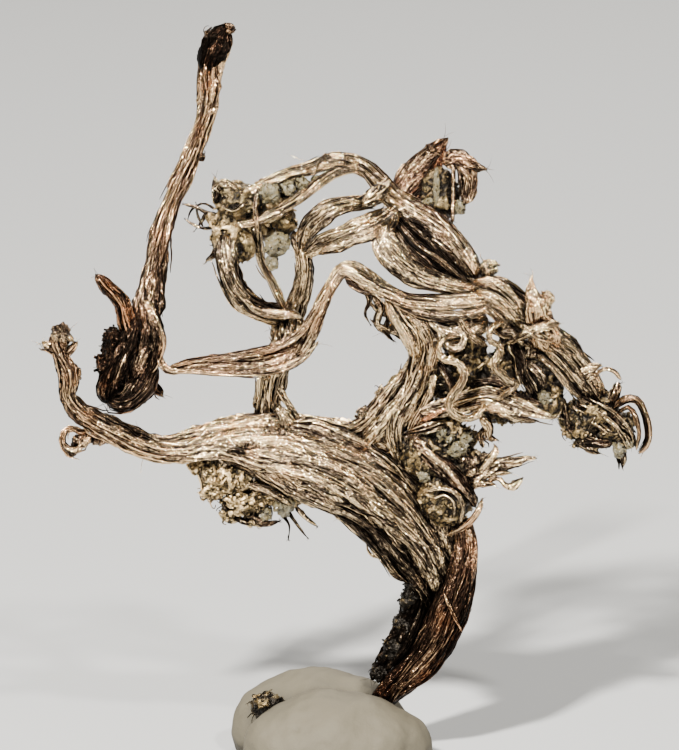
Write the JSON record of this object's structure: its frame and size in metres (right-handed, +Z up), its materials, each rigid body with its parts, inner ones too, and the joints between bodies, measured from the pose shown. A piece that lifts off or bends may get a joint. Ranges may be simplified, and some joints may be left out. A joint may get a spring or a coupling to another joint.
{
  "type": "native silver specimen",
  "caption": "Wire silver specimen: curled, striated strands with granular crust, standing upright in a flat-based blob of putty.",
  "frame": {"origin": "middle of the putty's flat underside, which rests on the surface", "axes": "+Z up, +X to the right as seen from the front, +Y away from the viewer"},
  "size_m": [0.0612, 0.0189, 0.0744],
  "materials": {
    "tarnished_silver": "satin",
    "copper_brown_silver": "satin",
    "crust": "matte",
    "tan_crust": "matte",
    "putty": "matte"
  },
  "bodies": {
    "root": {"stem": "copper_brown_silver", "main_bundle": "tarnished_silver", "column": "tarnished_silver", "post": "tarnished_silver", "putty_mount": "putty", "putty_crumb": "crust", "stem_crust": "crust", "tall_wire": "tarnished_silver", "wire_knot": "tarnished_silver", "thorn": "copper_brown_silver", "tail": "tarnished_silver", "under_crust": "tan_crust", "ribbon": "tarnished_silver", "lower_band": "tarnished_silver", "loop_left": "tarnished_silver", "loop_middle": "tarnished_silver", "loop_right": "tarnished_silver", "head_crust": "crust", "arch_rise": "tarnished_silver", "arch_fall": "tarnished_silver", "leaf_upper": "tarnished_silver", "leaf_lower": "tarnished_silver", "pod_outer": "tarnished_silver", "pod_inner": "tarnished_silver", "wing_plate": "tarnished_silver", "wing_crust": "crust", "wing_flake": "tarnished_silver", "shoulder_inner": "tarnished_silver", "shoulder_outer": "tarnished_silver", "end_cluster": "tan_crust", "end_hook": "tarnished_silver", "curl_crust": "crust", "basket_crust": "crust", "spur": "tarnished_silver", "side_flake": "tarnished_silver", "curl_left": "tarnished_silver", "curl_right": "tarnished_silver"}
  },
  "joints": []
}
